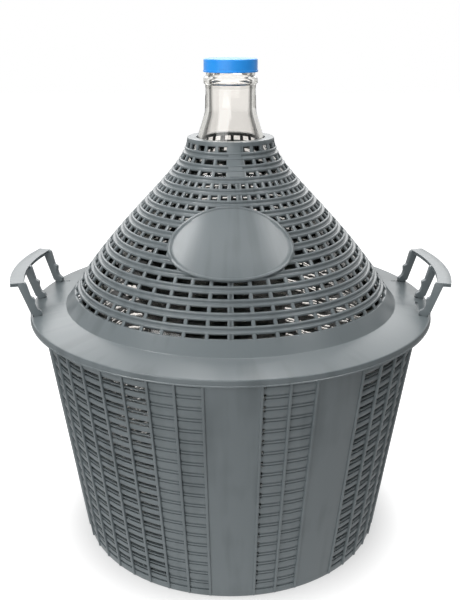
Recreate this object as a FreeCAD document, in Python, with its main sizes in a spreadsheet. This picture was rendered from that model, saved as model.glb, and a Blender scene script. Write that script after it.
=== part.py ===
import FreeCAD, Part
import math
import os
import Sketcher

os.makedirs("parts", exist_ok=True)
doc = FreeCAD.newDocument("demijohn")
V = FreeCAD.Vector

# A 34 litre glass demijohn in a two-piece plastic basket. All sizes are in mm and
# degrees, Z is up, the origin is the middle of the underside and azimuth 0 is the
# front (-Y), growing towards +X. The basket and its cover are moulded round the
# bottle, so their radii and heights follow from the bottle's and named clearances.
# Both are swept round the axis in side_count flat staves.
SIZES = [
    ("side_count", 32),
    ("seat_gap", 0.3),
    # glass bottle
    ("glass_wall", 3.5),
    ("belly_radius", 186.6),
    ("foot_radius", 138.0),
    ("foot_ring_width", 14.0),
    ("punt_height", 14.0),
    ("heel_height", 86.0),
    ("shoulder_foot", 247.0),
    ("shoulder_top", 295.0),
    ("shoulder_radius", 169.0),
    ("flare_height", 458.0),
    ("flare_radius", 39.5),
    ("neck_rise", 61.0),
    ("neck_radius", 24.7),
    ("ring_width", 4.6),
    ("ring_gap", 6.0),
    ("ring_depth", 7.4),
    ("mouth_rise", 14.1),
    ("mouth_radius", 26.5),
    # screw cap
    ("liner_thickness", 1.6),
    ("thread_clearance", 1.2),
    ("cap_skirt", 13.6),
    ("cap_wall", 1.8),
    ("cap_lid", 2.0),
    # lower basket
    ("floor_thickness", 3.0),
    ("basket_wall", 2.6),
    ("belly_clearance", 1.1),
    ("wall_lean", 7.7),
    ("rim_drop", 19.6),
    ("rim_flange_width", 10.6),
    ("rim_flange_thickness", 2.4),
    ("slat_rows", 9),
    ("slat_margin", 9.0),
    ("slot_height", 5.0),
    ("rib_width", 3.0),
    ("rib_height", 1.6),
    ("rib_root", 1.0),
    ("panel_angle", 15.0),
    ("panel_spacing", 30.0),
    ("bay_angle", 45.0),
    # handles, moulded with the basket
    ("leg_angle", 17.0),
    ("leg_thickness", 4.6),
    ("leg_root_width", 9.2),
    ("leg_top_shift", 13.4),
    ("leg_top_width", 8.0),
    ("grip_rise", 43.2),
    ("grip_thickness", 4.0),
    ("grip_setback", 2.2),
    ("grip_width", 15.4),
    ("tooth_rise", 22.6),
    ("tooth_depth", 2.6),
    ("hook_depth", 3.4),
    ("hook_rise", 5.4),
    # cover flange, lip and band
    ("cover_wall", 2.8),
    ("lip_clearance", 0.8),
    ("lip_height", 7.6),
    ("lip_thickness", 2.6),
    ("band_rise", 14.5),
    ("band_spread", 10.8),
    # lattice cone of the cover
    ("shoulder_clearance", 9.8),
    ("shoulder_headroom", 4.5),
    ("lattice_rows", 16),
    ("lattice_depth", 3.0),
    ("lattice_open_share", 0.35),
    ("lattice_ribs", 6),
    ("lattice_rib_width", 6.0),
    ("flank_foot_reach", 0.478),
    ("flank_foot_rise", 0.546),
    ("flank_top_drop", 0.198),
    ("closed_rows", 3),
    ("closed_azimuth", 5.0),
    ("closed_angle", 20.0),
    ("collar_width", 11.2),
    ("collar_clearance", 2.7),
    ("collar_rise", 10.6),
    ("collar_thickness", 3.2),
    # oval plate
    ("plate_drop", 91.1),
    ("plate_width", 129.0),
    ("plate_length", 84.0),
    ("plate_sides", 40),
    ("plate_stand", 1.8),
    ("plate_rim_width", 2.4),
    ("plate_rim_height", 1.1),
]

sheet = doc.addObject("Spreadsheet::Sheet", "Sizes")
for row, (alias, value) in enumerate(SIZES, start=1):
    sheet.set("A%d" % row, alias)
    sheet.set("B%d" % row, str(value))
    sheet.setAlias("B%d" % row, alias)
doc.recompute()


def size(alias):
    """One value of the size sheet as a number."""
    return float(sheet.get(alias))


def around(radius, azimuth, height):
    """Point at a radius, an azimuth in degrees and a height."""
    angle = math.radians(azimuth)
    return V(radius * math.sin(angle), -radius * math.cos(angle), height)


def staved(name, outline):
    """Solid that sweeps a closed (radius, height) outline round Z in flat staves."""
    sides = int(size("side_count"))
    step = 360.0 / sides
    faces = []
    for start, end in zip(outline, outline[1:] + outline[:1]):
        if start[0] == 0 and end[0] == 0:
            continue
        for side in range(sides):
            near = side * step
            far = near + step
            corners = [around(start[0], near, start[1])]
            if start[0] > 0:
                corners.append(around(start[0], far, start[1]))
            corners.append(around(end[0], far, end[1]))
            if end[0] > 0:
                corners.append(around(end[0], near, end[1]))
            faces.append(Part.Face(Part.makePolygon(corners + corners[:1])))
    shell = Part.makeShell(faces)
    shell.sewShape()
    solid = Part.makeSolid(shell)
    if solid.Volume < 0:
        solid.reverse()
    body = doc.addObject("Part::Feature", name)
    body.Shape = solid
    return body


def outline_sketch(name, outline, tilt=90):
    """Closed sketch of straight lines, upright unless tilted less: radius along X, height along Z."""
    sketch = doc.addObject("Sketcher::SketchObject", name)
    sketch.Placement.Rotation = FreeCAD.Rotation(V(1, 0, 0), tilt)
    count = len(outline)
    for index in range(count):
        start = outline[index]
        end = outline[(index + 1) % count]
        line = Part.LineSegment(V(start[0], start[1], 0), V(end[0], end[1], 0))
        sketch.addGeometry(line, False)
    for index in range(count):
        joined = Sketcher.Constraint("Coincident", index, 2, (index + 1) % count, 1)
        sketch.addConstraint(joined)
    return sketch


def upright_plate(name, sketch, thickness_alias, azimuth):
    """Plate of the sketch's outline, centred on the upright plane at an azimuth."""
    plate = doc.addObject("Part::Extrusion", name)
    plate.Base = sketch
    plate.DirMode = "Normal"
    plate.Solid = True
    plate.Symmetric = True
    plate.setExpression("LengthFwd", "Sizes." + thickness_alias)
    plate.Placement = FreeCAD.Placement(V(0, 0, 0), FreeCAD.Rotation(V(0, 0, 1), azimuth - 90))
    return plate


def sector(name, radius, foot, height, middle, width):
    """Pie-shaped slice of a disc, centred on an azimuth."""
    pie = doc.addObject("Part::Cylinder", name)
    pie.Radius = radius
    pie.Height = height
    pie.Angle = width
    turn = middle - width / 2 - 90
    pie.Placement = FreeCAD.Placement(V(0, 0, foot), FreeCAD.Rotation(V(0, 0, 1), turn))
    return pie


def cut(name, base, tool):
    """Boolean cut that keeps both operands in the tree."""
    result = doc.addObject("Part::Cut", name)
    result.Base = base
    result.Tool = tool
    return result


def common(name, base, tool):
    """Boolean intersection of two features."""
    result = doc.addObject("Part::Common", name)
    result.Base = base
    result.Tool = tool
    return result


def fuse(name, shapes):
    """Boolean union of a list of features."""
    result = doc.addObject("Part::MultiFuse", name)
    result.Shapes = shapes
    return result


# Blown bottle: pushed-up foot, near-upright belly, sloping shoulder and a flared neck
# with a transfer ring. The inside keeps one wall thickness from the outside.
gap = size("seat_gap")
wall = size("glass_wall")
bottle_foot = size("floor_thickness") + gap
neck_height = size("flare_height") + size("neck_rise")
ring_foot = neck_height + size("ring_gap")
ring_top = ring_foot + size("ring_depth")
ring_radius = size("neck_radius") + size("ring_width")
mouth_top = ring_top + size("mouth_rise")


def heel(share, inset):
    """Point on the round heel between the foot and the belly, moved in by an inset."""
    turn = math.radians(90 * share)
    run = size("belly_radius") - size("foot_radius")
    rise = size("heel_height") - bottle_foot
    return (
        size("foot_radius") + (run - inset) * math.sin(turn),
        bottle_foot + rise * (1 - math.cos(turn)) + inset * math.cos(turn),
    )


def flare(share):
    """Point on the neck's outside between the flare and the upright part of the neck."""
    narrowing = (1 - (1 - share) ** 2.4) * (size("flare_radius") - size("neck_radius"))
    return (size("flare_radius") - narrowing, size("flare_height") + size("neck_rise") * share)


shoulder_bend = (
    size("belly_radius") * 0.7 + size("shoulder_radius") * 0.3,
    size("shoulder_foot") * 0.4 + size("shoulder_top") * 0.6,
)
outside = [
    (size("foot_radius") - size("foot_ring_width"), bottle_foot),
    heel(0, 0),
    heel(1 / 3, 0),
    heel(2 / 3, 0),
    heel(1, 0),
    (size("belly_radius"), size("shoulder_foot")),
    shoulder_bend,
    (size("shoulder_radius"), size("shoulder_top")),
    flare(0),
    flare(0.4),
    flare(0.75),
    flare(1),
    (ring_radius, ring_foot),
    (ring_radius, ring_top),
    (size("mouth_radius"), ring_top + ring_radius - size("mouth_radius")),
    (size("mouth_radius"), mouth_top),
]
bore = size("neck_radius") - wall
slope_drop = wall * 0.4
inside = [
    (bore, mouth_top),
    (bore, neck_height),
    (size("flare_radius") - wall, size("flare_height") - slope_drop),
    (size("shoulder_radius") - wall, size("shoulder_top") - slope_drop),
    (size("belly_radius") - wall, size("shoulder_foot")),
    heel(1, wall),
    heel(0.6, wall),
    heel(0, wall),
    (0, bottle_foot + size("punt_height") + wall),
    (0, bottle_foot + size("punt_height")),
]
glass_bottle = staved("glass_bottle", outside + inside)


def round_feature(body, kind, name, foot, depth, radius):
    """Pad or pocket of a circle round Z, its radius, foot and depth bound to the sheet."""
    sketch = body.newObject("Sketcher::SketchObject", name + "_circle")
    planes = body.Origin.OriginFeatures
    level = [plane for plane in planes if plane.Role == "XY_Plane"][0]
    sketch.AttachmentSupport = [(level, "")]
    sketch.MapMode = "FlatFace"
    sketch.setExpression("AttachmentOffset.Base.z", foot)
    sketch.addGeometry(Part.Circle(V(0, 0, 0), V(0, 0, 1), size("mouth_radius")), False)
    sketch.addConstraint(Sketcher.Constraint("Coincident", 0, 3, -1, 1))
    index = sketch.addConstraint(Sketcher.Constraint("Radius", 0, size("mouth_radius")))
    sketch.setExpression("Constraints[%d]" % index, radius)
    doc.recompute()
    feature = body.newObject(kind, name)
    feature.Profile = sketch
    feature.setExpression("Length", depth)
    body.Tip = feature
    doc.recompute()
    return feature


# Soft disc that the cap presses on the mouth.
mouth = ("(Sizes.flare_height + Sizes.neck_rise + Sizes.ring_gap + Sizes.ring_depth"
         " + Sizes.mouth_rise)")
cap_inside = "(Sizes.mouth_radius + Sizes.thread_clearance)"
cap_liner = doc.addObject("PartDesign::Body", "cap_liner")
round_feature(cap_liner, "PartDesign::Pad", "liner_disc", mouth + " + Sizes.seat_gap",
              "Sizes.liner_thickness", cap_inside + " - Sizes.seat_gap")

# Moulded cap: a plain lid with a skirt round the mouth.
lid_foot = mouth + " + Sizes.liner_thickness + 2 * Sizes.seat_gap"
cap_foot = lid_foot + " + Sizes.cap_lid - Sizes.cap_skirt"
screw_cap = doc.addObject("PartDesign::Body", "screw_cap")
round_feature(screw_cap, "PartDesign::Pad", "cap_disc", cap_foot,
              "Sizes.cap_skirt", cap_inside + " + Sizes.cap_wall")
cap_hollow = round_feature(screw_cap, "PartDesign::Pocket", "cap_hollow", cap_foot,
                           "Sizes.cap_skirt - Sizes.cap_lid", cap_inside)
cap_hollow.Reversed = True

# Lower basket: floor, leaning wall that clears the belly at its heel, and the flange
# that the cover rests on.
lean = math.tan(math.radians(size("wall_lean")))
heel_wall = size("belly_radius") + size("belly_clearance") + size("basket_wall")
rim_height = size("shoulder_top") - size("rim_drop")
rim_top = rim_height + size("rim_flange_thickness")


def wall_radius(height):
    """Outside radius of the basket wall at a height."""
    return heel_wall + lean * (height - size("heel_height"))


rim_flange_radius = wall_radius(rim_height) + size("rim_flange_width")
basket_shell = staved("basket_shell", [
    (0, 0),
    (wall_radius(0), 0),
    (wall_radius(rim_height), rim_height),
    (rim_flange_radius, rim_height),
    (rim_flange_radius, rim_top),
    (wall_radius(rim_top) - size("basket_wall"), rim_top),
    (wall_radius(size("floor_thickness")) - size("basket_wall"), size("floor_thickness")),
    (0, size("floor_thickness")),
])

# Two plain panels face the front and two the back; the bays between them are slatted.
half_panel = size("panel_angle") / 2
panels = []
for facing in (0, 180):
    panels += [facing, facing + size("panel_spacing")]
bays = []
for index, panel in enumerate(panels):
    start = panel + half_panel
    end = panels[(index + 1) % len(panels)] - half_panel
    if end < start:
        end += 360
    count = max(1, round((end - start) / size("bay_angle")))
    for bay in range(count):
        width = (end - start) / count
        bays.append((start + bay * width, width))

# Each bay is opened by level slots, one under each slat. The slots keep clear of the
# ribs that stand proud of the wall at every bay and panel edge.
slat_pitch = (rim_height - 2 * size("slat_margin")) / size("slat_rows")
slots = []
for start, width in bays:
    for slat in range(int(size("slat_rows"))):
        foot = size("slat_margin") + (slat + 0.5) * slat_pitch - size("slot_height") / 2
        margin = math.degrees(size("rib_width") * 0.75 / wall_radius(foot))
        slots.append(sector(
            "slot_%d_%d" % (len(slots), slat),
            rim_flange_radius,
            foot,
            size("slot_height"),
            start + width / 2,
            width - 2 * margin,
        ))
slot_set = doc.addObject("Part::Compound", "slots")
slot_set.Links = slots
slatted_shell = cut("slatted_shell", basket_shell, slot_set)

rib_foot = size("slat_margin") * 0.6
rib_sketch = outline_sketch("rib_outline", [
    (wall_radius(rib_foot) - size("rib_root"), rib_foot),
    (wall_radius(rib_foot) + size("rib_height"), rib_foot),
    (wall_radius(rim_height) + size("rib_height"), rim_height),
    (wall_radius(rim_height) - size("rib_root"), rim_height),
])
rib_azimuths = {round(start, 3) % 360 for start, width in bays}
rib_azimuths |= {round(start + width, 3) % 360 for start, width in bays}
basket_ribs = []
for azimuth in sorted(rib_azimuths):
    basket_ribs.append(upright_plate(
        "basket_rib_%03d" % azimuth, rib_sketch, "rib_width", azimuth))

# The cover's flange rests on the basket's, falls a little to its edge and turns down
# in a lip. Its inner edge turns up in a plain band round the bottle's shoulder.
thick = size("cover_wall")
cover_radius = rim_flange_radius + size("lip_clearance") + size("lip_thickness")
lip_inner = cover_radius - size("lip_thickness")
band_top = (
    size("shoulder_radius") + size("shoulder_clearance"),
    size("shoulder_top") + size("shoulder_headroom"),
)
band_foot = (band_top[0] + size("band_spread"), band_top[1] - size("band_rise"))
lip_share = size("lip_thickness") / (cover_radius - band_foot[0])
seat_height = rim_top + gap + thick
edge_height = (seat_height - band_foot[1] * lip_share) / (1 - lip_share)
edge_slope = (band_foot[1] - edge_height) / (cover_radius - band_foot[0])


def cover_top(radius):
    """Height of the cover flange's upper face at a radius."""
    return edge_height + edge_slope * (cover_radius - radius)


# Handle legs rise from the rim flange; a hook and a tooth on each hold the cover down.
leg_outer = rim_flange_radius - gap
root = rim_flange_radius - size("leg_root_width")
grip_top = rim_top + size("grip_rise")
grip_foot = grip_top - size("grip_thickness")
leg_head = grip_top - size("grip_thickness") / 2
hook_foot = cover_top(root - size("hook_depth")) + gap
hook_head = hook_foot + size("hook_rise")
tooth = rim_top + size("tooth_rise")


def leg_inner(height):
    """Radius of a leg's inner edge, which leans outwards."""
    return root + size("leg_top_shift") * max(0, height - rim_top) / (leg_head - rim_top)


leg_sketch = outline_sketch("leg_outline", [
    (root, rim_top - gap),
    (leg_outer, rim_top - gap),
    (leg_outer, hook_foot),
    (leg_inner(leg_head) + size("leg_top_width"), leg_head),
    (leg_inner(leg_head), leg_head),
    (leg_inner(tooth), tooth + size("tooth_depth") / 2),
    (leg_inner(tooth) - size("tooth_depth"), tooth),
    (leg_inner(tooth) - size("tooth_depth"), tooth - size("tooth_depth") * 0.8),
    (leg_inner(tooth), tooth - size("tooth_depth") * 1.2),
    (leg_inner(hook_head) - size("hook_depth") * 0.4, hook_head),
    (root - size("hook_depth"), hook_head - size("hook_depth") * 0.6),
    (root - size("hook_depth"), hook_foot),
    (root, hook_foot),
])
grip_inner = root + size("leg_top_shift") + size("grip_setback")
overhang = math.degrees(size("leg_thickness") * 0.75 / grip_inner)
spread = 2 * (size("leg_angle") + overhang)
handles = []
leg_azimuths = []
for facing in (90, 270):
    for offset in (-size("leg_angle"), 0, size("leg_angle")):
        leg_azimuths.append(facing + offset)
        handles.append(upright_plate(
            "leg_%03d" % (facing + offset), leg_sketch, "leg_thickness", facing + offset))
    grip_disc = sector("grip_disc_%d" % facing, grip_inner + size("grip_width"), grip_foot,
                       size("grip_thickness"), facing, spread)
    grip_hole = sector("grip_hole_%d" % facing, grip_inner, grip_foot - thick,
                       size("grip_thickness") + 2 * thick, facing, 2 * spread)
    handles.append(cut("grip_%d" % facing, grip_disc, grip_hole))
basket = fuse("basket", [slatted_shell] + basket_ribs + handles)

cover_skirt = staved("cover_skirt", [
    (cover_radius, edge_height - size("lip_height")),
    (cover_radius, edge_height),
    band_foot,
    band_top,
    (band_top[0] - thick, band_top[1]),
    (band_foot[0] - thick, band_foot[1] - thick),
    (lip_inner, seat_height - thick),
    (lip_inner, edge_height - size("lip_height")),
])

# The flank bends from the band to the collar along one cubic curve. The collar stands
# clear of the bottle's neck.
collar_top = size("flare_height") + size("collar_rise")
above_flare = size("collar_rise") / (flare(0.4)[1] - size("flare_height"))
neck_there = size("flare_radius") + (flare(0.4)[0] - size("flare_radius")) * above_flare
collar_opening = neck_there + size("collar_clearance")
collar_radius = collar_opening + size("collar_width")
run = band_top[0] - collar_radius
rise = collar_top - band_top[1]
flank_curve = Part.BezierCurve()
flank_curve.setPoles([
    V(band_top[0], 0, band_top[1]),
    V(band_top[0] - run * size("flank_foot_reach"), 0,
      band_top[1] + rise * size("flank_foot_rise")),
    V(collar_radius, 0, collar_top - rise * size("flank_top_drop")),
    V(collar_radius, 0, collar_top),
])
flank_length = flank_curve.length()
row_pitch = flank_length / size("lattice_rows")


def flank(distance, offset):
    """(radius, height) at a distance up the flank, moved outwards by an offset."""
    place = min(max(distance / flank_length, 0), 1) * flank_length
    at = flank_curve.parameterAtDistance(place, flank_curve.FirstParameter)
    point = flank_curve.value(at)
    along = flank_curve.tangent(at)[0]
    return (point.x + offset * along.z, point.z - offset * along.x)


def flank_strip(start, end, steps, high, low):
    """Outline of a strip of the flank between two distances and two offsets."""
    places = [start + (end - start) * step / steps for step in range(steps + 1)]
    upper = [flank(place, high) for place in places]
    return upper + [flank(place, low) for place in reversed(places)]


# Each lattice ring has a ridge outside and a flat face inside. What is left of the
# pitch between two rings stays open.
deep = size("lattice_depth")
half_ring = row_pitch * (1 - size("lattice_open_share")) / 2
rings = []
for row in range(1, int(size("lattice_rows"))):
    middle = row * row_pitch
    rings.append(staved("ring_%02d" % row, [
        flank(middle, deep / 2),
        flank(middle + half_ring, -deep / 2),
        flank(middle - half_ring, -deep / 2),
    ]))

# Collar that closes the cone round the neck.
collar_foot = flank(flank_length - half_ring, 0)
collar_bevel = size("collar_thickness") * 0.4
rings.append(staved("collar", [
    (collar_opening, collar_top),
    (collar_opening, collar_top - size("collar_thickness")),
    (collar_radius - deep, collar_top - size("collar_thickness")),
    (collar_foot[0] - deep / 2, collar_foot[1]),
    (collar_foot[0] + deep / 2, collar_foot[1]),
    (collar_radius + deep / 2, collar_top - collar_bevel),
    (collar_radius + deep / 2 - collar_bevel, collar_top),
]))

# Ribs run up the flank and tie the rings.
lattice_rib_sketch = outline_sketch(
    "lattice_rib_outline", flank_strip(0, flank_length, 6, deep * 0.2, -deep * 0.7))
rib_step = 360.0 / size("lattice_ribs")
for index in range(int(size("lattice_ribs"))):
    azimuth = (index + 0.5) * rib_step
    rings.append(upright_plate(
        "lattice_rib_%03d" % azimuth, lattice_rib_sketch, "lattice_rib_width", azimuth))

# The first rows under the collar are closed at the front.
closed_foot = flank_length - size("closed_rows") * row_pitch
closed_skin = staved("closed_skin", flank_strip(
    closed_foot, flank_length, 3, deep * 0.3, -deep * 0.3))
closed_slice = sector(
    "closed_slice",
    flank(closed_foot, deep)[0],
    flank(closed_foot, 0)[1] - deep,
    collar_top,
    size("closed_azimuth"),
    size("closed_angle"),
)
rings.append(common("closed_strip", closed_skin, closed_slice))

# Oval plate with a raised rim, bent to the flank.
plate_middle = 0
while flank(plate_middle, 0)[1] < collar_top - size("plate_drop"):
    plate_middle += row_pitch / 20
plate_foot = flank(plate_middle - size("plate_length") / 2, 0)
plate_top = flank(plate_middle + size("plate_length") / 2, 0)
plate_slope = math.atan2(plate_top[1] - plate_foot[1], plate_foot[0] - plate_top[0])
plate_high = deep / 2 + size("plate_stand")


def oval(name, trim, length):
    """Oval bar that stands square to the flank at the plate's middle."""
    half_width = size("plate_width") / 2 - trim
    half_length = size("plate_length") / 2 - trim
    corners = []
    for side in range(int(size("plate_sides"))):
        turn = 2 * math.pi * (side + 0.5) / size("plate_sides")
        corners.append((half_width * math.cos(turn), half_length * math.sin(turn)))
    bar = doc.addObject("Part::Extrusion", name)
    bar.Base = outline_sketch(name + "_edge", corners, 0)
    bar.DirMode = "Normal"
    bar.Solid = True
    bar.LengthFwd = length
    bar.LengthRev = length
    middle = V(0, -(plate_foot[0] + plate_top[0]) / 2, (plate_foot[1] + plate_top[1]) / 2)
    turn = FreeCAD.Rotation(V(1, 0, 0), math.degrees(plate_slope))
    bar.Placement = FreeCAD.Placement(middle, turn)
    return bar


def plate_skin(name, low, high):
    """Strip of the flank round the plate, between two offsets from it."""
    reach = size("plate_length") / 2 + 2 * row_pitch
    return staved(name, flank_strip(plate_middle - reach, plate_middle + reach, 2, high, low))


bar_reach = size("plate_length") / 2
plate = common("plate", plate_skin("plate_skin", -deep / 2, plate_high),
               oval("plate_oval", 0, bar_reach))
rim_oval = cut("rim_oval", oval("rim_outer", 0, bar_reach),
               oval("rim_inner", size("plate_rim_width"), bar_reach + deep))
plate_rim = common("plate_rim",
                   plate_skin("rim_skin", -deep / 4, plate_high + size("plate_rim_height")),
                   rim_oval)
closed_cover = fuse("closed_cover", [cover_skirt] + rings + [plate, plate_rim])

# The legs pass through radial slits in the flange.
slit_start = root - size("hook_depth") - gap
slits = []
for azimuth in leg_azimuths:
    slit = doc.addObject("Part::Box", "slit_%03d" % azimuth)
    slit.Length = leg_outer + gap - slit_start
    slit.Width = size("leg_thickness") + 2 * gap
    slit.Height = 3 * thick
    turn = FreeCAD.Rotation(V(0, 0, 1), azimuth - 90)
    corner = V(slit_start, -slit.Width.Value / 2, rim_top)
    slit.Placement = FreeCAD.Placement(turn.multVec(corner), turn)
    slits.append(slit)
slit_set = doc.addObject("Part::Compound", "slits")
slit_set.Links = slits
cover = cut("cover", closed_cover, slit_set)

doc.recompute()

NODES = {
    "glass_bottle": glass_bottle,
    "screw_cap": screw_cap,
    "cap_liner": cap_liner,
    "basket": basket,
    "cover": cover,
}
for feature in doc.Objects:
    if "Invalid" in feature.State or "Error" in feature.State:
        raise RuntimeError(feature.Name + " failed: " + str(feature.State))
for node, feature in NODES.items():
    feature.Label = node
    if feature.Shape.isNull() or not feature.Shape.isValid():
        raise RuntimeError(node + " has no valid shape")
    feature.Shape.exportStep("parts/" + node + ".step")
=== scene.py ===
import math

import bmesh
import bpy
from mathutils import Matrix, Vector
from mathutils.geometry import interpolate_bezier


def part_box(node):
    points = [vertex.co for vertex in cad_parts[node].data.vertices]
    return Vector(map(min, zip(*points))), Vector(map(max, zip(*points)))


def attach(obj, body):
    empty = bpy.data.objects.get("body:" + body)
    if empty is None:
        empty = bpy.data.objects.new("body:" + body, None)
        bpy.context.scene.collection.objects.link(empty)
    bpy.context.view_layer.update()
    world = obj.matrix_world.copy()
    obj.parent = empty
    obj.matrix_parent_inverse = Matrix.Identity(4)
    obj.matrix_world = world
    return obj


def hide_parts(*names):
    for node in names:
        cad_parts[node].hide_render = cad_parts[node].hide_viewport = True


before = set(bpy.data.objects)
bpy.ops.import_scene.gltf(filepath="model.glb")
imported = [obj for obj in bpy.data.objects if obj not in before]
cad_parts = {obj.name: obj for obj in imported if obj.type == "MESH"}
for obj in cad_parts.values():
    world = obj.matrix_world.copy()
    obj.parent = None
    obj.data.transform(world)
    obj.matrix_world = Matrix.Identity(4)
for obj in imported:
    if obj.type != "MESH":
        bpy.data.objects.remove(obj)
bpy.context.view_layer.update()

MM = 0.001


# The bottle: one blown piece of clear soda-lime glass with a faint grey cast. It has an
# upright belly, a sloping shoulder, a flared neck and a rounded transfer ring, and stands
# on the basket's floor on a ring round its pushed-up foot.
bottle_low, bottle_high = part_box("glass_bottle")
bottle_foot = bottle_low.z / MM
mouth_top = bottle_high.z / MM
belly_radius = bottle_high.x / MM
glass_wall = 3.5
foot_wall = 4.0
foot_radius = 138.0
punt_radius = 96.0
punt_rise = 12.0
heel_height = 86.0
heel_fillet = 62.0
shoulder_foot = 247.0
shoulder_radius = 171.0
shoulder_height = 299.0
shoulder_fillet = 300.0
flare_radius = 39.5
flare_height = 458.0
throat_height = 496.0
neck_radius = 27.2
neck_height = 520.5
ring_radius = 29.3
ring_height = 528.7
mouth_radius = 26.5
bottle_steps = 128


def hex_colour(text):
    """Linear colour of an sRGB hex value."""
    channels = [int(text[index:index + 2], 16) / 255 for index in (1, 3, 5)]
    linear = [c / 12.92 if c <= 0.04045 else ((c + 0.055) / 1.055) ** 2.4 for c in channels]
    return (*linear, 1.0)


def new_material(name):
    """An empty material, with its node tree and its surface shader."""
    material = bpy.data.materials.new(name)
    material.use_nodes = True
    return material, material.node_tree, material.node_tree.nodes["Principled BSDF"]


def add(tree, kind, links=None, **settings):
    """Adds a node. Links are by socket name or number, settings are properties or sockets."""
    node = tree.nodes.new(kind)
    for name, value in settings.items():
        if hasattr(node, name):
            setattr(node, name, value)
        else:
            node.inputs[name.replace("_", " ")].default_value = value
    for name, source in (links or {}).items():
        tree.links.new(source, node.inputs[name])
    return node


def rounded(corners, steps=5):
    """Outline through (radius, height, fillet) corners, each turned along its fillet."""
    points = []
    for index, (radius, height, fillet) in enumerate(corners):
        corner = Vector((radius, height))
        before = Vector(corners[index - 1][:2]) - corner
        after = Vector(corners[(index + 1) % len(corners)][:2]) - corner
        back = fillet / math.tan(before.angle(after) / 2) if fillet else 0
        if back < 0.01:
            points.append(corner)
            continue
        # A fillet stops short of the middle of an edge, where the next one may begin.
        back = min(back, 0.48 * before.length, 0.48 * after.length)
        start = corner + before.normalized() * back
        end = corner + after.normalized() * back
        for step in range(steps + 1):
            share = step / steps
            points.append(start * (1 - share) ** 2 + corner * 2 * share * (1 - share)
                          + end * share ** 2)
    return points


def join(bm, part):
    """Adds a small part, which is made by itself because that is quick, to a piece."""
    mesh = bpy.data.meshes.new("part")
    part.to_mesh(mesh)
    part.free()
    bm.from_mesh(mesh)
    bpy.data.meshes.remove(mesh)


def spun(bm, outline, steps, start=0.0, sweep=360.0):
    """Spins a closed (radius, height) outline in mm round Z, from an azimuth on."""
    part = bmesh.new()
    turn = Matrix.Rotation(math.radians(start), 3, "Z")
    corners = [part.verts.new(turn @ Vector((0, -radius, height)) * MM)
               for radius, height in outline]
    edges = [part.edges.new(pair) for pair in zip(corners, corners[1:] + corners[:1])]
    shape = corners + edges
    if sweep < 360:
        shape.append(part.faces.new(corners))
    bmesh.ops.spin(part, geom=shape, cent=(0, 0, 0), axis=(0, 0, 1), dvec=(0, 0, 0),
                   angle=math.radians(sweep), steps=steps, use_merge=sweep == 360,
                   use_duplicate=False)
    join(bm, part)


def closed(bm):
    """Merges what meets and turns the faces outwards."""
    bmesh.ops.remove_doubles(bm, verts=bm.verts, dist=0.02 * MM)
    bmesh.ops.recalc_face_normals(bm, faces=bm.faces)


def finished(bm, name, material, nodes, body, sharp=35.0):
    """Closes and smooths a mesh and puts it in the place of its CAD nodes."""
    closed(bm)
    mesh = bpy.data.meshes.new(name)
    bm.to_mesh(mesh)
    bm.free()
    mesh.shade_smooth()
    mesh.set_sharp_from_angle(angle=math.radians(sharp))
    mesh.materials.append(material)
    piece = bpy.data.objects.new(name, mesh)
    bpy.context.scene.collection.objects.link(piece)
    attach(piece, body)
    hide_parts(*nodes)
    return piece


# Soda-lime glass, blown: clear and smooth, with long waves in the belly and shoulder that
# bend what it reflects, and calm on the neck. Where a wall is seen edge-on its colour turns
# to painted shade, grey on the outside wall and nearly black on the inside wall, which
# draws the dark lines at the sides of the neck.
wave_length = 65.0
wave_height = 11.0
glasses = []
for name, edge in (("blown_clear_glass", "#A9A8A2"), ("glass_inside_with_painted_edge_shade", "#1D1E1B")):
    glass, tree, surface = new_material(name)
    surface.inputs["Roughness"].default_value = 0.015
    surface.inputs["IOR"].default_value = 1.52
    surface.inputs["Transmission Weight"].default_value = 1.0
    # Painted shade: the base colour turns to the edge colour where the wall is seen edge-on.
    edge_on_painted_shade_mask = add(tree, "ShaderNodeLayerWeight", Blend=0.5)
    tint = add(tree, "ShaderNodeValToRGB", {"Fac": edge_on_painted_shade_mask.outputs["Facing"]})
    tint.color_ramp.elements[0].position = 0.38
    tint.color_ramp.elements[0].color = hex_colour("#F4F2EF")
    tint.color_ramp.elements[1].position = 0.55
    tint.color_ramp.elements[1].color = hex_colour(edge)
    tree.links.new(tint.outputs["Color"], surface.inputs["Base Color"])
    coords = add(tree, "ShaderNodeTexCoord")
    ripple = add(tree, "ShaderNodeTexNoise", {"Vector": coords.outputs["Object"]},
                 Scale=1 / (wave_length * MM), Detail=0.5)
    split = add(tree, "ShaderNodeSeparateXYZ", {"Vector": coords.outputs["Object"]})
    calm = add(tree, "ShaderNodeMapRange", {"Value": split.outputs["Z"]}, From_Min=0.4,
               From_Max=0.46, To_Min=1.0, To_Max=0.08)
    waves = add(tree, "ShaderNodeBump", {"Height": ripple.outputs["Fac"],
                                         "Strength": calm.outputs["Result"]},
                Distance=wave_height * MM)
    tree.links.new(waves.outputs["Normal"], surface.inputs["Normal"])
    glasses.append(glass)

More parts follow.
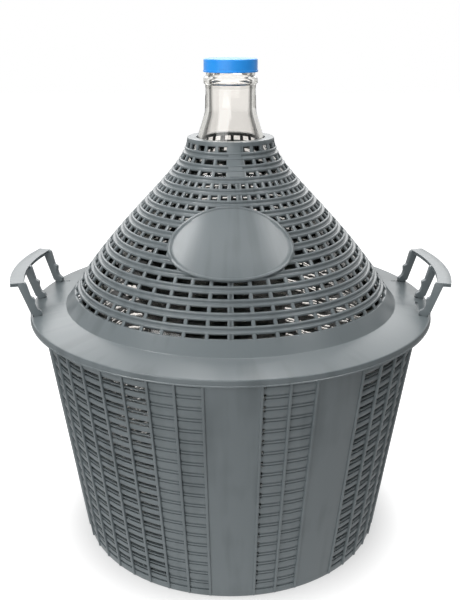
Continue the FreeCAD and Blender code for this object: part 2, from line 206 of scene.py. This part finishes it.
bm = bmesh.new()
spun(bm, rounded([
    (0, bottle_foot + punt_rise + 2, 0),
    (punt_radius, bottle_foot + punt_rise, 30),
    (foot_radius - 9, bottle_foot, 6),
    (foot_radius + 12, bottle_foot, 16),
    (belly_radius, heel_height - 16, heel_fillet),
    (belly_radius, shoulder_foot, 60),
    (shoulder_radius, shoulder_height, shoulder_fillet),
    (flare_radius, flare_height, 30),
    (neck_radius + 0.6, throat_height, 40),
    (neck_radius, neck_height, 8),
    (neck_radius + 0.2, ring_height - 4.6, 0.6),
    (ring_radius, ring_height - 2.6, 2.0),
    (ring_radius, ring_height + 1.8, 2.4),
    (mouth_radius, ring_height + 4.6, 0.8),
    (mouth_radius, mouth_top, 1.0),
    (neck_radius - glass_wall, mouth_top, 1.0),
    (neck_radius - glass_wall, throat_height - 2, 40),
    (flare_radius - glass_wall - 1, flare_height - 1, 30),
    (shoulder_radius - glass_wall - 1, shoulder_height - 1.4, shoulder_fillet),
    (belly_radius - glass_wall, shoulder_foot, 60),
    (belly_radius - glass_wall, heel_height - 14, heel_fillet - 4),
    (foot_radius + 10, bottle_foot + foot_wall, 14),
    (foot_radius - 9, bottle_foot + foot_wall, 6),
    (punt_radius, bottle_foot + punt_rise + foot_wall, 30),
    (0, bottle_foot + punt_rise + foot_wall + 2, 0),
], steps=8), bottle_steps)
bottle = finished(bm, "bottle", glasses[0], ["glass_bottle"], "bottle_in_basket")
bottle.data.materials.append(glasses[1])
# Faces turned inwards get the inside glass, with its nearly black painted edge-on shade.
for face in bottle.data.polygons:
    if face.normal.xy.dot(face.center.xy) < 0:
        face.material_index = 1


# The basket: one injection moulding in grey polyethylene, with a floor, a leaning wall of
# slats between upright ribs, four plain panels, a rim flange that carries the cover, and
# a handle of three legs and a curved grip on each side.
basket_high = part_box("basket")[1]
cover_low, cover_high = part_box("cover")
cover_radius = cover_high.y / MM
lip_foot = cover_low.z / MM
edge_height = lip_foot + 7.4
rim_height = edge_height - 5.2
rim_thickness = 2.4
rim_flange_radius = cover_radius - 3.4
basket_wall = 2.6
basket_floor = 3.0
heel_wall_radius = 190.3
wall_slope = math.tan(math.radians(7.7))
foot_band_top = 8.0
rim_band_foot = rim_height - 6.0
bay_foot = foot_band_top - 0.5
bay_top = rim_band_foot + 0.5
wall_steps = 144

# Polyethylene, injection moulded: satin, with faint flow streaks that run up the wall, a
# few soft clouds and a fine orange-peel. The streaks are drawn as wide as they show.
streaks_a_radian = 11
streak_length = 160.0
cloud_size = 70.0
peel_size = 1.6
peel_height = 0.08
grey, tree, surface = new_material("moulded_grey_polyethylene")
surface.inputs["IOR"].default_value = 1.51
coords = add(tree, "ShaderNodeTexCoord")
split = add(tree, "ShaderNodeSeparateXYZ", {"Vector": coords.outputs["Object"]})
forwards = add(tree, "ShaderNodeMath", {0: split.outputs["Y"]}, operation="MULTIPLY")
forwards.inputs[1].default_value = -1.0
azimuth = add(tree, "ShaderNodeMath", {0: split.outputs["X"], 1: forwards.outputs["Value"]},
              operation="ARCTAN2")
round_way = add(tree, "ShaderNodeCombineXYZ", {"X": azimuth.outputs["Value"],
                                               "Y": split.outputs["Z"]})
stretched = add(tree, "ShaderNodeMapping", {"Vector": round_way.outputs["Vector"]},
                Scale=(streaks_a_radian, 1 / (streak_length * MM), 1))
flow = add(tree, "ShaderNodeTexNoise", {"Vector": stretched.outputs["Vector"]},
           Scale=1.0, Detail=2.0, Roughness=0.5)
cloud = add(tree, "ShaderNodeTexNoise", {"Vector": coords.outputs["Object"]},
            Scale=1 / (cloud_size * MM), Detail=2.0)
blend = add(tree, "ShaderNodeMath", {0: flow.outputs["Fac"], 1: cloud.outputs["Fac"]},
            operation="ADD")
tint = add(tree, "ShaderNodeValToRGB", {"Fac": blend.outputs["Value"]})
tint.color_ramp.elements[0].position = 0.7
tint.color_ramp.elements[0].color = hex_colour("#656D70")
tint.color_ramp.elements[1].position = 1.3
tint.color_ramp.elements[1].color = hex_colour("#727A7D")
tree.links.new(tint.outputs["Color"], surface.inputs["Base Color"])
gloss = add(tree, "ShaderNodeMapRange", {"Value": flow.outputs["Fac"]}, To_Min=0.26,
            To_Max=0.34)
tree.links.new(gloss.outputs["Result"], surface.inputs["Roughness"])
peel = add(tree, "ShaderNodeTexNoise", {"Vector": coords.outputs["Object"]},
           Scale=1 / (peel_size * MM), Detail=2.0)
grain = add(tree, "ShaderNodeBump", {"Height": peel.outputs["Fac"]}, Strength=0.15,
            Distance=peel_height * MM)
tree.links.new(grain.outputs["Normal"], surface.inputs["Normal"])


def wall_radius(height):
    """Outside radius of the basket's wall at a height."""
    return heel_wall_radius + wall_slope * (height - heel_height)


def turned_copies(part, count, step):
    """Repeats all of a part round Z by equal steps in degrees."""
    if count > 1:
        geometry = part.verts[:] + part.edges[:] + part.faces[:]
        bmesh.ops.spin(part, geom=geometry, cent=(0, 0, 0), axis=(0, 0, 1), dvec=(0, 0, 0),
                       angle=math.radians(step * (count - 1)), steps=count - 1,
                       use_merge=False, use_duplicate=True)


# The floor with the band at the wall's foot, and the band at its top with the rim flange.
bm = bmesh.new()
spun(bm, rounded([
    (0, 0, 0),
    (wall_radius(0), 0, 1.2),
    (wall_radius(foot_band_top), foot_band_top, 0.6),
    (wall_radius(foot_band_top) - basket_wall, foot_band_top, 0.4),
    (wall_radius(basket_floor) - basket_wall, basket_floor, 0.8),
    (0, basket_floor, 0),
], steps=3), wall_steps)
spun(bm, rounded([
    (wall_radius(rim_band_foot), rim_band_foot, 0.4),
    (wall_radius(rim_height), rim_height, 0.8),
    (rim_flange_radius, rim_height, 0.4),
    (rim_flange_radius, rim_height + rim_thickness, 0.4),
    (wall_radius(rim_height) - basket_wall, rim_height + rim_thickness, 0.6),
    (wall_radius(rim_band_foot) - basket_wall, rim_band_foot, 0.4),
], steps=2), wall_steps)

# Plain panels, two in front and two behind.
column_angle = 7.5
panel_half = 7.4
panel_steps = 8
for azimuth in (0.5, 30.1, 180.5, 210.1):
    spun(bm, [
        (wall_radius(bay_foot), bay_foot),
        (wall_radius(bay_top), bay_top),
        (wall_radius(bay_top) - basket_wall, bay_top),
        (wall_radius(bay_foot) - basket_wall, bay_foot),
    ], panel_steps, start=azimuth - panel_half, sweep=2 * panel_half)

# Woven-looking bays: in each row a wide bulged slat and a thin bar, both given as shares
# of the row. They stand free at the sides, and are only grooved next to the panels.
slat_rows = 20
slat_pitch = (rim_band_foot - foot_band_top) / slat_rows
slat_foot = 0.02
slat_top = 0.56
bar_foot = 0.715
bar_top = 0.835
slat_depth = 3.6
groove_depth = 2.0
ledge_depth = 1.9
grooved_extra_wall = 0.6
open_bays = ((38.0, 16), (218.0, 16), (8.0, 0.16))
grooved_bays = ((9.2, 0.84), (15.5, 1), (158.0, 2), (188.0, 2), (338.0, 2))


def ridge(low, high, row, base, rise, steps):
    """Points up a ridge between two shares of a row, recessed by base to rise and fullest
    a little above its middle."""
    points = []
    for step in range(steps + 1):
        share = step / steps
        height = foot_band_top + (row + low + (high - low) * share) * slat_pitch
        depth = base - (base - rise) * math.sin(math.pi * (0.05 + 0.75 * share)) ** 0.7
        points.append((wall_radius(height) - depth, height))
    return points


def bay(bm, outlines, start, columns):
    """Spins outlines through a column of the wall, or a part of one, and repeats it."""
    part = bmesh.new()
    for outline in outlines:
        spun(part, outline, 2, start=start, sweep=column_angle * min(columns, 1))
    turned_copies(part, int(columns), column_angle)
    join(bm, part)


slats = []
for row in range(slat_rows):
    for front in (ridge(slat_foot, slat_top, row, 2.6, 0.3, 5),
                  ridge(bar_foot, bar_top, row, 1.4, 0.6, 2)):
        slats.append(front + [(wall_radius(height) - slat_depth, height)
                              for _, height in reversed(front)])
for start, columns in open_bays:
    bay(bm, slats, start, columns)

grooved = [(wall_radius(bay_foot) - ledge_depth, bay_foot)]
for row in range(slat_rows):
    grooved += ridge(slat_foot, slat_top + 0.06, row, 1.7, 0.6, 4)
    grooved += ridge(slat_top + 0.08, bar_foot - 0.02, row, groove_depth, groove_depth, 1)
    grooved += ridge(bar_foot, bar_top + 0.03, row, 1.3, 0.9, 2)
    grooved += ridge(bar_top + 0.05, 0.99, row, groove_depth, groove_depth, 1)
grooved.append((wall_radius(bay_top) - ledge_depth, bay_top))
grooved += [(wall_radius(height) - basket_wall - grooved_extra_wall, height)
            for height in (bay_top, bay_foot)]
for start, columns in grooved_bays:
    bay(bm, [grooved], start, columns)


def bevelled_bars(bm, size, middle, lean, start, count, step):
    """Adds leaning bars of a (width, depth, length) round Z, bevelled along their length."""
    bevel = 0.9
    part = bmesh.new()
    width, depth, length = size
    place = (Matrix.Rotation(math.radians(start), 4, "Z")
             @ Matrix.Translation(Vector((0, -middle[0], middle[1])) * MM)
             @ Matrix.Rotation(lean, 4, "X"))
    bmesh.ops.create_cube(part, size=1, matrix=place @ Matrix.Diagonal(
        (width * MM, depth * MM, length * MM, 1)))
    upright = [edge for edge in part.edges if abs(edge.calc_length() - length * MM) < 1e-6]
    bmesh.ops.bevel(part, geom=upright, offset=bevel * MM, segments=2, profile=0.5,
                    affect="EDGES", material=-1)
    turned_copies(part, count, step)
    join(bm, part)


# Ribs stand proud of the wall at the edges of the bays' columns.
rib_width = 3.0
rib_depth = 3.2
rib_foot = 2.0
rib_top = rim_height - 2.0
rib_length = (rib_top - rib_foot) / math.cos(math.atan(wall_slope))
rib_middle = (rib_top + rib_foot) / 2
rib_groups = ((8.0, 3), (38.0, 17), (158.0, 3), (188.0, 3), (218.0, 17), (338.0, 3))
for start, count in rib_groups:
    bevelled_bars(bm, (rib_width, rib_depth, rib_length), (wall_radius(rib_middle), rib_middle),
                  math.atan(wall_slope), start, count, column_angle)

# Handle legs: flat upright plates with a tooth above the cover's flange and a hook on it.
leg_angle = 16.0
leg_azimuths = [middle + turn for middle in (90, 270) for turn in (-leg_angle, 0, leg_angle)]
leg_thickness = 5.8
leg_bevel = 1.7
leg_root = rim_flange_radius - 7.4
leg_outer = rim_flange_radius - 0.3
leg_foot = rim_height + 2
hook_foot = edge_height + 2.1
hook_reach = 2.0
hook_top = 286.4
tooth_root = 290.0
tooth = 300.5
tooth_reach = 2.8
grip_top = basket_high.z / MM
grip_outer = basket_high.x / MM
grip_inner = 233.0
grip_half = leg_angle + 0.65
leg_slope = 12.6 / (grip_top - 2 - rim_height - rim_thickness)


def leg_inner(height):
    """Radius of a leg's inner edge, which leans outwards."""
    return leg_root + leg_slope * (height - rim_height - rim_thickness)


leg_outline = rounded([
    (leg_root, leg_foot, 0),
    (leg_outer, leg_foot, 0),
    (leg_outer, hook_foot, 0.4),
    (leg_outer + 2.2, hook_foot + 1.2, 2),
    (leg_inner(grip_top - 3) + 9, grip_top - 3, 0),
    (leg_inner(grip_top) + 7, grip_top - 0.3, 0),
    (leg_inner(grip_top) - 1.0, grip_top - 0.1, 4.0),
    (leg_inner(tooth + 3), tooth + 3.0, 1.6),
    (leg_inner(tooth) - tooth_reach, tooth + 0.9, 1.1),
    (leg_inner(tooth) - tooth_reach, tooth - 2.2, 1.1),
    (leg_inner(tooth - 5) - 0.8, tooth - 5, 3),
    (leg_inner(tooth_root) - 0.8, tooth_root, 5),
    (leg_root - hook_reach, hook_top, 1.2),
    (leg_root - hook_reach, hook_foot, 0.3),
    (leg_root, hook_foot, 0),
], steps=3)
for azimuth in leg_azimuths:
    part = bmesh.new()
    corners = [part.verts.new(Vector((-leg_thickness / 2, -radius, height)) * MM)
               for radius, height in leg_outline]
    side = part.faces.new(corners)
    grown = bmesh.ops.extrude_face_region(part, geom=[side])["geom"]
    far = [item for item in grown if isinstance(item, bmesh.types.BMVert)]
    bmesh.ops.translate(part, verts=far, vec=(leg_thickness * MM, 0, 0))
    # Only the rims of the plate's two sides are rounded, not the corners across it.
    rims = [edge for edge in part.edges if edge.calc_face_angle(0) > 1.4
            and abs(edge.verts[0].co.x - edge.verts[1].co.x) < 1e-6]
    bmesh.ops.bevel(part, geom=rims, offset=leg_bevel * MM, segments=3, profile=0.5,
                    affect="EDGES", material=-1, clamp_overlap=True)
    bmesh.ops.rotate(part, verts=part.verts, cent=(0, 0, 0),
                     matrix=Matrix.Rotation(math.radians(azimuth), 3, "Z"))
    join(bm, part)

# Grip: a flat curved bar with a groove round its edge, level with the legs' heads.
grip_groove = 1.2
grip_steps = 16
for azimuth in (90, 270):
    for inset, top, foot, half in (
        (0, grip_top, grip_top - 1.6, grip_half),
        (grip_groove, grip_top - 1.4, grip_top - 2.8, grip_half - 0.3),
        (0, grip_top - 2.4, grip_top - 4.0, grip_half),
    ):
        spun(bm, rounded([
            (grip_inner + inset, top, 0.5),
            (grip_inner + inset, foot, 0.5),
            (grip_outer - inset, foot, 0.5),
            (grip_outer - inset, top, 0.5),
        ], steps=2), grip_steps, start=azimuth - half, sweep=2 * half)
finished(bm, "basket_moulding", grey, ["basket"], "bottle_in_basket")


# The cover: one injection moulding in the same grey polyethylene. A flange with a
# turned-down lip rests on the basket, a plain band rises from it, and above that a cone
# of double beads tied by short bars bends up to a flat collar round the neck.
collar_top = cover_high.z / MM
collar_radius = 47.6
collar_opening = 37.6
collar_wall = 3.2
collar_bead = 5.0
band_foot = Vector((189.6, 285.0))
band_top = Vector((178.8, 299.5))
cover_wall = 2.8
lip_wall = 2.6
lattice_rows = 16
window_share = 0.37
flank_depth = 2.2
flange_steps = 180
ring_steps = 132

# The cone's flank is one curve from the band's top to the collar's edge, and its places
# are the distances of its points along it.
flank_poles = (
    Vector((*band_top, 0)),
    Vector((116.7, 391.8, 0)),
    Vector((collar_radius, 435.2, 0)),
    Vector((collar_radius, collar_top, 0)),
)
flank_points = interpolate_bezier(*flank_poles, 400)
flank_places = [0.0]
for low, high in zip(flank_points, flank_points[1:]):
    flank_places.append(flank_places[-1] + (high - low).length)
flank_length = flank_places[-1]
pitch = (flank_length - collar_bead) / (lattice_rows - 1 + window_share)


def flank(distance, offset):
    """(radius, height) at a distance up the cone's flank, moved outwards by an offset."""
    reached = min(max(distance, 0), flank_length)
    index = min(max(sum(place < reached for place in flank_places), 1), len(flank_points) - 1)
    low, high = flank_points[index - 1], flank_points[index]
    part = (reached - flank_places[index - 1]) / (flank_places[index] - flank_places[index - 1])
    along = (high - low).normalized()
    point = low.lerp(high, part)
    return Vector((point.x + offset * along.y, point.y - offset * along.x))


flange = bmesh.new()
spun(flange, rounded([
    (cover_radius, lip_foot, 0.5),
    (cover_radius, lip_foot + 1.2, 0.5),
    (cover_radius - 0.7, lip_foot + 1.7, 0.3),
    (cover_radius - 0.5, edge_height, 1.6),
    (*band_foot, 1.6),
    (band_top.x + 0.4, band_top.y, 0.8),
    (band_top.x - cover_wall, band_top.y, 0.5),
    (band_foot.x - cover_wall, band_foot.y - cover_wall, 2),
    (cover_radius - lip_wall, edge_height - lip_wall, 1),
    (cover_radius - lip_wall, lip_foot, 0.5),
], steps=4), flange_steps)
closed(flange)

# The handles' legs come up through radial slots in the flange. The two rear outer slots
# run on inwards as a narrow slit, and a shallow groove lies across beside the front leg
# on the right. Each has an inner and an outer radius, a width and a depth.
leg_slot = (216.4, 226.8, leg_thickness + 0.8, 12.0)
rear_slit = (207.5, 217.5, 2.4, 12.0)
cross_groove = (213.2, 216.6, 34.0, 1.8)
cuts = [(azimuth, leg_slot) for azimuth in leg_azimuths]
cuts += [(azimuth, rear_slit) for azimuth in (90 + leg_angle, 270 - leg_angle)]
cuts.append((80.5, cross_groove))
cutters = bmesh.new()
for azimuth, (inner, outer, across, depth) in cuts:
    middle = (inner + outer) / 2
    top = edge_height + (band_foot.y - edge_height) * (cover_radius - middle) / (
        cover_radius - band_foot.x)
    box = (Matrix.Rotation(math.radians(azimuth), 4, "Z")
           @ Matrix.Translation(Vector((0, -middle, top)) * MM)
           @ Matrix.Diagonal((across * MM, (outer - inner) * MM, 2 * depth * MM, 1)))
    bmesh.ops.create_cube(cutters, size=1, matrix=box)


def carved(solid, cutter):
    """The solid with the cutters' shapes taken out, as a mesh."""
    pair = []
    for shape in (solid, cutter):
        mesh = bpy.data.meshes.new("carving")
        shape.to_mesh(mesh)
        shape.free()
        pair.append(bpy.data.objects.new("carving", mesh))
        bpy.context.scene.collection.objects.link(pair[-1])
    cut = pair[0].modifiers.new("cut", "BOOLEAN")
    cut.operation = "DIFFERENCE"
    cut.solver = "EXACT"
    cut.use_self = True
    cut.object = pair[1]
    result = bpy.data.meshes.new_from_object(
        pair[0].evaluated_get(bpy.context.evaluated_depsgraph_get()))
    for used in pair:
        bpy.data.objects.remove(used)
    return result


bm = bmesh.new()
bm.from_mesh(carved(flange, cutters))

# Two rounded beads with a groove between them make each ring of the cone.
half_ring = pitch * (1 - window_share) / 2
bead_reach = 0.7
groove_half = 0.65
for row in range(1, lattice_rows):
    middle = row * pitch - half_ring
    corners = []
    for side in (-1, 1):
        inner = side * groove_half
        outer = side * half_ring
        half = [
            (outer, -flank_depth, 0.4),
            (outer, bead_reach - 1.1, 0.6),
            (outer * 0.75 + inner * 0.25, bead_reach, 1.6),
            (outer * 0.35 + inner * 0.65, bead_reach, 1.6),
            (inner, bead_reach - 1.9, 0.2),
        ]
        corners += half if side < 0 else half[::-1]
    outline = [flank(middle + along, out) for along, out in rounded(corners, steps=2)]
    spun(bm, outline, ring_steps)

# Collar: a flat ring with a bead round its edge.
top_bead = flank(flank_length - collar_bead, 0)
spun(bm, rounded([
    (collar_opening, collar_top, 0.6),
    (collar_opening, collar_top - collar_wall, 0.6),
    (collar_radius - 3, collar_top - collar_wall, 0.5),
    (top_bead.x - flank_depth, top_bead.y, 0.4),
    (top_bead.x, top_bead.y, 0.9),
    (collar_radius, collar_top, 1.0),
]), ring_steps)

# Short bars between the rings, fewer in the top rows. Each group of rows begins at its
# own azimuth, and its bars on the mould's parting line, front and back, are wider.
bar_width = 4.0
mould_bar_width = 6.2
bar_depth = 2.8
bar_length = pitch * 0.5
bar_sink = 1.2
top_rows = 3
upper_rows = 6
top_columns = 24
lower_columns = 48
for row in range(lattice_rows):
    from_top = lattice_rows - row
    columns = top_columns if from_top <= top_rows else lower_columns
    step = 360 / columns
    if from_top <= top_rows:
        shift = 5.0 + step / 2
    elif from_top <= upper_rows:
        shift = 2.7 + step / 2
    else:
        shift = 0.0
    centre = flank((row + window_share / 2) * pitch, -bar_sink)
    up = flank((row + window_share) * pitch, 0) - flank(row * pitch, 0)
    lean = math.atan2(up.x, up.y)
    bevelled_bars(bm, (bar_width, bar_depth, bar_length), centre, lean, shift, columns, step)
    bevelled_bars(bm, (mould_bar_width, bar_depth, bar_length), centre, lean, shift, 2, 180)

# A smooth strip closes the top rows in front.
strip_foot = (lattice_rows - top_rows) * pitch
strip_stand = 0.2
strip_sink = 1.7
strip_steps = 8
strip = [flank(strip_foot + step * pitch / 2, strip_stand) for step in range(6)]
strip += [flank(strip_foot + step * pitch / 2, -strip_sink) for step in range(5, -1, -1)]
spun(bm, strip, strip_steps, start=-2.5, sweep=15)

# Oval plate: smooth and bare, with a thin raised rim, bent to the cone.
plate_half = Vector((64.5, 42.0))
plate_stand = 3.3
plate_wall = 4.2
plate_height = collar_top - 91.1
plate_sides = 96
rim_shares = (0.0, 0.25, 0.5, 0.72, 0.88, 0.925, 0.94, 0.955, 0.985, 1.0)
rim_lifts = (0, 0, 0, 0, 0, 0, 0.5, 1.1, 1.1, 0.2)
plate_distance = 0.0
while flank(plate_distance, 0).y < plate_height:
    plate_distance += 0.5
plate_middle = flank(plate_distance, 0)
plate_up = (flank(plate_distance + 40, 0) - flank(plate_distance - 40, 0)).normalized()
plate_out = Vector((plate_up.y, -plate_up.x))


def cone_radius(height):
    """Radius of the cone's flank at a height."""
    for low, high in zip(flank_points, flank_points[1:]):
        if low.y <= height <= high.y:
            return low.x + (high.x - low.x) * (height - low.y) / (high.y - low.y)
    return band_top.x


part = bmesh.new()
bmesh.ops.create_circle(part, cap_ends=True, cap_tris=True, segments=plate_sides, radius=1.0)
hub = min(part.verts, key=lambda vert: vert.co.length)
bmesh.ops.subdivide_edges(part, edges=hub.link_edges[:], cuts=len(rim_shares) - 2)
for vert in part.verts:
    ring = round(vert.co.length * (len(rim_shares) - 1))
    flat = Vector((0, 0)) if ring == 0 else vert.co.xy.normalized() * rim_shares[ring]
    across, along = flat.x * plate_half.x, flat.y * plate_half.y
    # The point moves from the plate's plane on to the cone, in steps that soon settle.
    reach = 0.0
    for _ in range(8):
        radial = plate_middle.x + along * plate_up.x + reach * plate_out.x
        height = plate_middle.y + along * plate_up.y + reach * plate_out.y
        reach -= (math.hypot(across, radial) - cone_radius(height)) / 1.4
    reach += plate_stand + rim_lifts[ring]
    vert.co = Vector((across, -(plate_middle.x + along * plate_up.x + reach * plate_out.x),
                      plate_middle.y + along * plate_up.y + reach * plate_out.y)) * MM
bmesh.ops.recalc_face_normals(part, faces=part.faces)
if sum(face.normal.y for face in part.faces) > 0:
    bmesh.ops.reverse_faces(part, faces=part.faces)
bmesh.ops.solidify(part, geom=part.faces[:], thickness=plate_wall * MM)
join(bm, part)
finished(bm, "cover_moulding", grey, ["cover"], "bottle_in_basket")


# The screw cap: one moulding in bright blue polyethylene, smooth, with a rounded top edge
# and a slight bead at its foot. It screws on to the bottle's neck.
cap_low, cap_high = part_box("screw_cap")
cap_foot = cap_low.z / MM
cap_top = cap_high.z / MM
cap_radius = cap_high.x / MM
cap_wall = 1.8
lid_wall = 2
cap_steps = 128

# Polyethylene with a blue pigment, injection moulded: satin, with a barely uneven tint.
mottle_size = 6.0
blue, tree, surface = new_material("moulded_blue_polyethylene")
surface.inputs["IOR"].default_value = 1.51
surface.inputs["Specular IOR Level"].default_value = 0.3
surface.inputs["Subsurface Weight"].default_value = 0.05
surface.inputs["Subsurface Scale"].default_value = 2 * MM
coords = add(tree, "ShaderNodeTexCoord")
mottle = add(tree, "ShaderNodeTexNoise", {"Vector": coords.outputs["Object"]},
             Scale=1 / (mottle_size * MM), Detail=3.0)
tint = add(tree, "ShaderNodeMix", {"Factor": mottle.outputs["Fac"]}, data_type="RGBA")
tint.inputs["A"].default_value = hex_colour("#2A9CFF")
tint.inputs["B"].default_value = hex_colour("#3CA6FF")
tree.links.new(tint.outputs["Result"], surface.inputs["Base Color"])
gloss = add(tree, "ShaderNodeMapRange", {"Value": mottle.outputs["Fac"]}, To_Min=0.3,
            To_Max=0.42)
tree.links.new(gloss.outputs["Result"], surface.inputs["Roughness"])

bm = bmesh.new()
spun(bm, rounded([
    (0, cap_top, 0),
    (cap_radius - 0.5, cap_top, 1.6),
    (cap_radius - 0.5, cap_foot + 2.2, 0.4),
    (cap_radius, cap_foot + 1.8, 0.3),
    (cap_radius, cap_foot, 0.4),
    (cap_radius - cap_wall, cap_foot, 0.4),
    (cap_radius - cap_wall, cap_top - lid_wall, 0.6),
    (0, cap_top - lid_wall, 0),
]), cap_steps)
finished(bm, "cap_moulding", blue, ["screw_cap"], "cap")


# The cap's liner: a soft white disc, punched from closed-cell foam, that lies loose inside
# the lid and seals on the bottle's mouth. Its cells show as a fine mottle.
cell_size = 0.8
foam, tree, surface = new_material("white_liner_foam")
surface.inputs["Roughness"].default_value = 0.8
coords = add(tree, "ShaderNodeTexCoord")
cells = add(tree, "ShaderNodeTexVoronoi", {"Vector": coords.outputs["Object"]},
            Scale=1 / (cell_size * MM))
tint = add(tree, "ShaderNodeMix", {"Factor": cells.outputs["Distance"]}, data_type="RGBA")
tint.inputs["A"].default_value = hex_colour("#E9E8E2")
tint.inputs["B"].default_value = hex_colour("#F6F5F0")
tree.links.new(tint.outputs["Result"], surface.inputs["Base Color"])
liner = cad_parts["cap_liner"]
liner.data.materials.clear()
liner.data.materials.append(foam)


# The stage: a plain pale paper floor that the camera and the glass see as white, but with
# its glow turned down close to the basket's foot: a painted shadow that deepens the real
# one. To other rays the paper glows round the foot: a painted pool of bounce light.
floor_half = 6
floor_mesh = bpy.data.meshes.new("floor")
bm = bmesh.new()
bmesh.ops.create_grid(bm, x_segments=1, y_segments=1, size=floor_half)
bm.to_mesh(floor_mesh)
bm.free()
floor = bpy.data.objects.new("floor", floor_mesh)
bpy.context.scene.collection.objects.link(floor)
paper, tree, surface = new_material("white_paper_sweep")
surface.inputs["Base Color"].default_value = hex_colour("#A8A8A8")
surface.inputs["Roughness"].default_value = 0.9
surface.inputs["Specular IOR Level"].default_value = 0.0
surface.inputs["Emission Color"].default_value = (1, 1, 1, 1)
ray = add(tree, "ShaderNodeLightPath")
seen = add(tree, "ShaderNodeMath", {0: ray.outputs["Is Camera Ray"],
                                    1: ray.outputs["Is Transmission Ray"]},
           operation="MAXIMUM")
coords = add(tree, "ShaderNodeTexCoord")
away = add(tree, "ShaderNodeVectorMath", {0: coords.outputs["Object"]}, operation="LENGTH")
# Painted shadow: camera and glass see the glow fall from white to about half near the foot.
level = add(tree, "ShaderNodeMapRange", {"Value": away.outputs["Value"]}, From_Min=0.178,
            From_Max=0.235, To_Min=0.52, To_Max=1.0)
# Painted bounce light: other rays see the paper glow round the foot, fading outwards.
painted_bounce_glow = add(tree, "ShaderNodeMapRange", {"Value": away.outputs["Value"]}, From_Min=0.2,
             From_Max=0.75, To_Min=0.42, To_Max=0.0)
glow = add(tree, "ShaderNodeMix", {"Factor": seen.outputs["Value"],
                                   "A": painted_bounce_glow.outputs["Result"],
                                   "B": level.outputs["Result"]})
tree.links.new(glow.outputs["Result"], surface.inputs["Emission Strength"])
floor_mesh.materials.append(paper)

# The surround is white to the camera. Glass and gloss see white paper behind the object
# and a dim room on the camera's side, and it hardly lights the object at all.
world = bpy.data.worlds.new("studio")
bpy.context.scene.world = world
world.use_nodes = True
tree = world.node_tree
tree.nodes.clear()
ray = add(tree, "ShaderNodeLightPath")
seen = add(tree, "ShaderNodeMath", {0: ray.outputs["Is Glossy Ray"],
                                    1: ray.outputs["Is Transmission Ray"]},
           operation="MAXIMUM")
coords = add(tree, "ShaderNodeTexCoord")
split = add(tree, "ShaderNodeSeparateXYZ", {"Vector": coords.outputs["Generated"]})
room = add(tree, "ShaderNodeMapRange", {"Value": split.outputs["Y"]}, From_Min=-0.1,
           From_Max=0.5, To_Min=0.12, To_Max=1.0)
dim = add(tree, "ShaderNodeMix", {"Factor": seen.outputs["Value"],
                                  "B": room.outputs["Result"]}, A=0.05)
level = add(tree, "ShaderNodeMix", {"Factor": ray.outputs["Is Camera Ray"],
                                    "A": dim.outputs["Result"]}, B=1.0)
surround = add(tree, "ShaderNodeBackground", {"Strength": level.outputs["Result"]},
               Color=(1, 1, 1, 1))
add(tree, "ShaderNodeOutputWorld", {"Surface": surround.outputs["Background"]})


def softbox(name, place, aim, size, power):
    """Area lamp of a width and depth at a place, turned to a point."""
    light = bpy.data.lights.new(name, "AREA")
    light.shape = "RECTANGLE"
    light.size, light.size_y = size
    light.energy = power
    lamp = bpy.data.objects.new(name, light)
    bpy.context.scene.collection.objects.link(lamp)
    lamp.location = place
    lamp.rotation_euler = (Vector(aim) - Vector(place)).to_track_quat("-Z", "Y").to_euler()
    lamp.visible_camera = False


# A wide, dim softbox in front on the left draws the soft band of light in the neck, a
# narrow one and two small ones above brighten the flange, and two behind light the glass
# and the far edges.
softbox("front_light", (-0.8, -1.7, 0.8), aim=(0, 0, 0.25), size=(2.0, 1.2), power=22)
softbox("top_light", (0, -0.62, 1.72), aim=(0, -0.1, 0.35), size=(1.1, 0.14), power=2.5)
softbox("left_light", (-0.87, -0.3, 1.62), aim=(0, 0, 0.35), size=(0.4, 0.5), power=9)
softbox("right_light", (0.87, -0.3, 1.62), aim=(0, 0, 0.35), size=(0.5, 0.6), power=7)
softbox("hair_light", (0, 0.9, 1.8), aim=(0, 0, 0.3), size=(0.6, 0.4), power=7)
softbox("back_light", (-0.2, 2.0, 1.3), aim=(0, 0, 0.3), size=(2.6, 0.8), power=16)

# The photograph's view: from 0.9 m in front and above, looking 19 degrees down.
view_tilt = 19.31
view = bpy.data.cameras.new("view")
view.sensor_width = 36
view.lens = 48.24
view.shift_x = -0.001
camera = bpy.data.objects.new("view", view)
bpy.context.scene.collection.objects.link(camera)
camera.location = (0, -0.894, 0.591)
camera.rotation_euler = (math.radians(90 - view_tilt), 0, 0)
bpy.context.scene.camera = camera
bpy.context.scene.view_settings.view_transform = "Standard"
